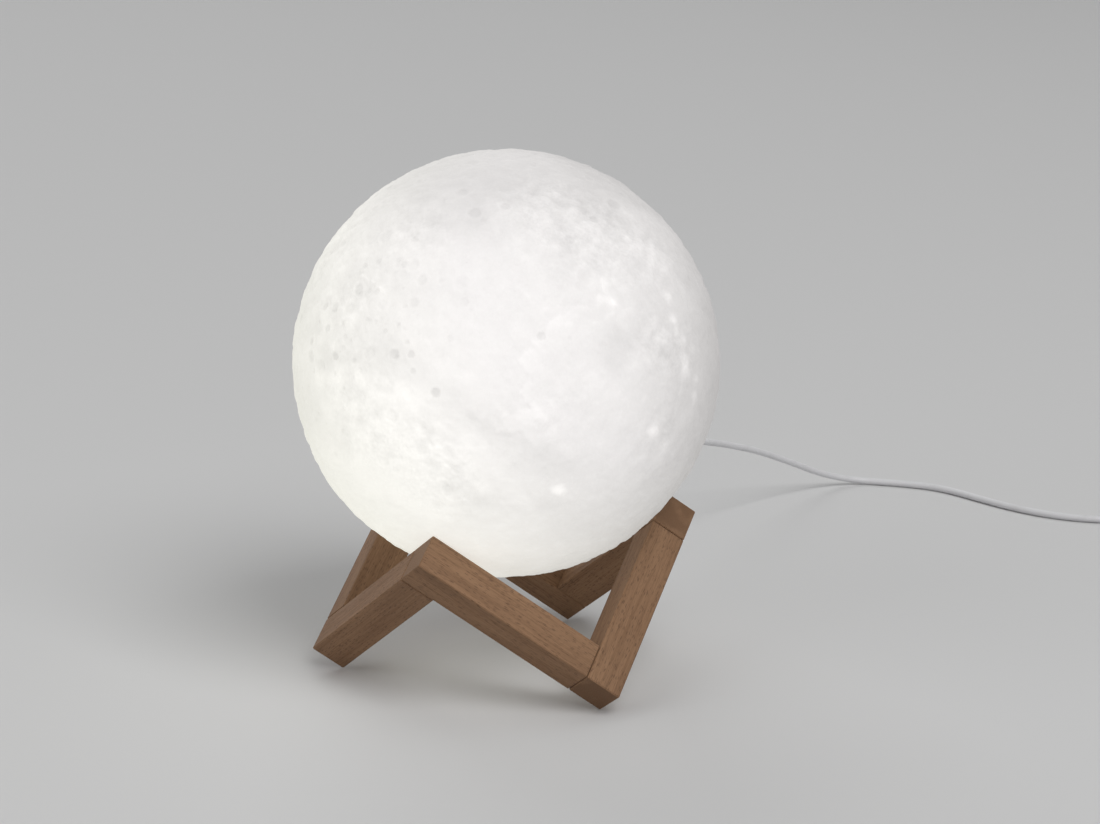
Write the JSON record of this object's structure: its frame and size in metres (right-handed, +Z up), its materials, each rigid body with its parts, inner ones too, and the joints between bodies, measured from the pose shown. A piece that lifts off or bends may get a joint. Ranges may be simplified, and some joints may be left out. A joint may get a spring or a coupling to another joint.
{
  "type": "moon lamp",
  "caption": "Hollow printed globe lamp with low craters, resting on a skew ring of square wooden bars, with a plug-in white lead.",
  "frame": {"origin": "on the table, under the centre of the globe and of the stand's three corner points", "axes": "+Z up, +X towards the upper corner of the stand at the right of the picture, -Y towards the viewer"},
  "size_m": [0.4149, 0.3224, 0.1868],
  "materials": {
    "beech": "oiled mid-brown beech, fine dark flecks along the grain",
    "dowel_wood": "plain turned beech",
    "printed_shell": "translucent printed plastic, lit from inside",
    "white_plastic": "moulded white plastic",
    "bright_metal": "bright plated metal",
    "contact_brass": "spring brass",
    "black_plastic": "black moulded plastic",
    "light_pipe": "clear moulded plastic",
    "circuit_board": "green solder mask",
    "cell_foil": "dull foil pouch",
    "foam": "closed-cell foam",
    "screw_steel": "zinc-plated steel",
    "led_board": "white solder mask",
    "led_chip": "phosphor under clear resin",
    "frosted_plastic": "frosted translucent plastic",
    "wire_sheath": "soft wire insulation",
    "cord_plastic": "soft white cable jacket",
    "tie_black": "woven hook-and-loop tie"
  },
  "bodies": {
    "stand": {"front_bar": "beech", "right_bar": "beech", "back_right_bar": "beech", "back_bar": "beech", "back_left_bar": "beech", "left_bar": "beech", "corner_dowels": "dowel_wood"},
    "globe": {"globe_shell": "printed_shell", "neck_ring": "white_plastic", "module_housing": "white_plastic", "touch_ring": "bright_metal", "touch_contact": "contact_brass", "power_socket": "black_plastic", "indicator_lens": "light_pipe", "control_board": "circuit_board", "battery_cell": "cell_foil", "battery_pad": "foam", "inner_cap": "white_plastic", "cap_screws": "screw_steel", "led_board": "led_board", "led_chips": "led_chip", "light_diffuser": "frosted_plastic", "module_wires": "wire_sheath"},
    "plug": {"plug_barrel": "bright_metal", "plug_grip": "cord_plastic", "plug_strain_relief": "cord_plastic", "cord_lead": "cord_plastic", "cord_coil": "cord_plastic", "cord_tie": "tie_black", "usb_grip": "cord_plastic", "usb_shell": "bright_metal", "usb_insert": "white_plastic"}
  },
  "joints": [
    {"name": "globe_lift", "type": "slide", "parent": "stand", "child": "globe", "axis": [0, 0, 1], "range_m": [0, 0.05]},
    {"name": "plug_pull", "type": "slide", "parent": "globe", "child": "plug", "axis": [0.4568, 0.7912, -0.4067], "range_m": [0, 0.012]}
  ]
}
